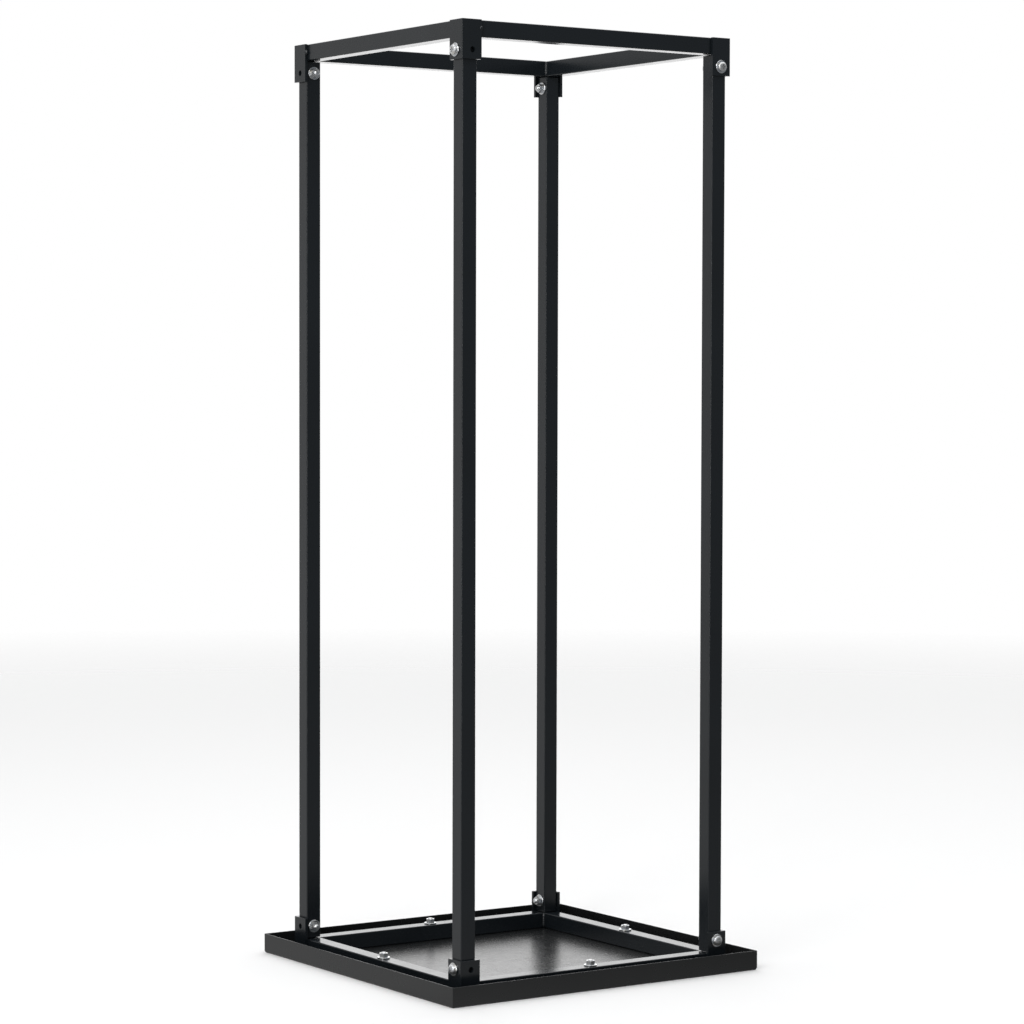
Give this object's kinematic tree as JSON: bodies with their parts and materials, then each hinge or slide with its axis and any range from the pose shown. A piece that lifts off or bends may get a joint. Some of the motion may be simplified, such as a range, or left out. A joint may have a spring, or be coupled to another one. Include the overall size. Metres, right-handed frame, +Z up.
{
  "type": "firewood log rack",
  "caption": "Tall open firewood rack: square tube posts bolted into bracketed corners of a top and a base rail frame, standing in a shallow folded sheet tray.",
  "frame": {"origin": "on the floor, under the middle of the base tray", "axes": "+X to the right along the front, +Y to the rear, +Z up; the log ends show at the front"},
  "size_m": [0.45, 0.441, 1.15],
  "materials": {
    "frame_coat": "semi-gloss black powder coat on steel tube and plate",
    "tray_coat": "semi-gloss black powder coat on folded sheet steel",
    "zinc_plate": "bright zinc plated steel fasteners"
  },
  "bodies": {
    "root": {"base_bracket_back_left": "frame_coat", "base_bracket_back_right": "frame_coat", "base_bracket_front_left": "frame_coat", "base_bracket_front_right": "frame_coat", "base_inner_washer_back_left": "zinc_plate", "base_inner_washer_back_right": "zinc_plate", "base_inner_washer_front_left": "zinc_plate", "base_inner_washer_front_right": "zinc_plate", "base_nut_back_left": "zinc_plate", "base_nut_back_right": "zinc_plate", "base_nut_front_left": "zinc_plate", "base_nut_front_right": "zinc_plate", "base_outer_washer_back_left": "zinc_plate", "base_outer_washer_back_right": "zinc_plate", "base_outer_washer_front_left": "zinc_plate", "base_outer_washer_front_right": "zinc_plate", "base_rail_back": "frame_coat", "base_rail_front": "frame_coat", "base_rail_left": "frame_coat", "base_rail_right": "frame_coat", "base_screw_back_left": "zinc_plate", "base_screw_back_right": "zinc_plate", "base_screw_front_left": "zinc_plate", "base_screw_front_right": "zinc_plate", "base_stud_nuts": "zinc_plate", "base_stud_washers": "zinc_plate", "base_studs": "zinc_plate", "base_tray": "tray_coat", "post_back_left": "frame_coat", "post_back_right": "frame_coat", "post_front_left": "frame_coat", "post_front_right": "frame_coat", "top_bracket_back_left": "frame_coat", "top_bracket_back_right": "frame_coat", "top_bracket_front_left": "frame_coat", "top_bracket_front_right": "frame_coat", "top_inner_washer_back_left": "zinc_plate", "top_inner_washer_back_right": "zinc_plate", "top_inner_washer_front_left": "zinc_plate", "top_inner_washer_front_right": "zinc_plate", "top_nut_back_left": "zinc_plate", "top_nut_back_right": "zinc_plate", "top_nut_front_left": "zinc_plate", "top_nut_front_right": "zinc_plate", "top_outer_washer_back_left": "zinc_plate", "top_outer_washer_back_right": "zinc_plate", "top_outer_washer_front_left": "zinc_plate", "top_outer_washer_front_right": "zinc_plate", "top_rail_back": "frame_coat", "top_rail_front": "frame_coat", "top_rail_left": "frame_coat", "top_rail_right": "frame_coat", "top_screw_back_left": "zinc_plate", "top_screw_back_right": "zinc_plate", "top_screw_front_left": "zinc_plate", "top_screw_front_right": "zinc_plate"}
  },
  "joints": []
}
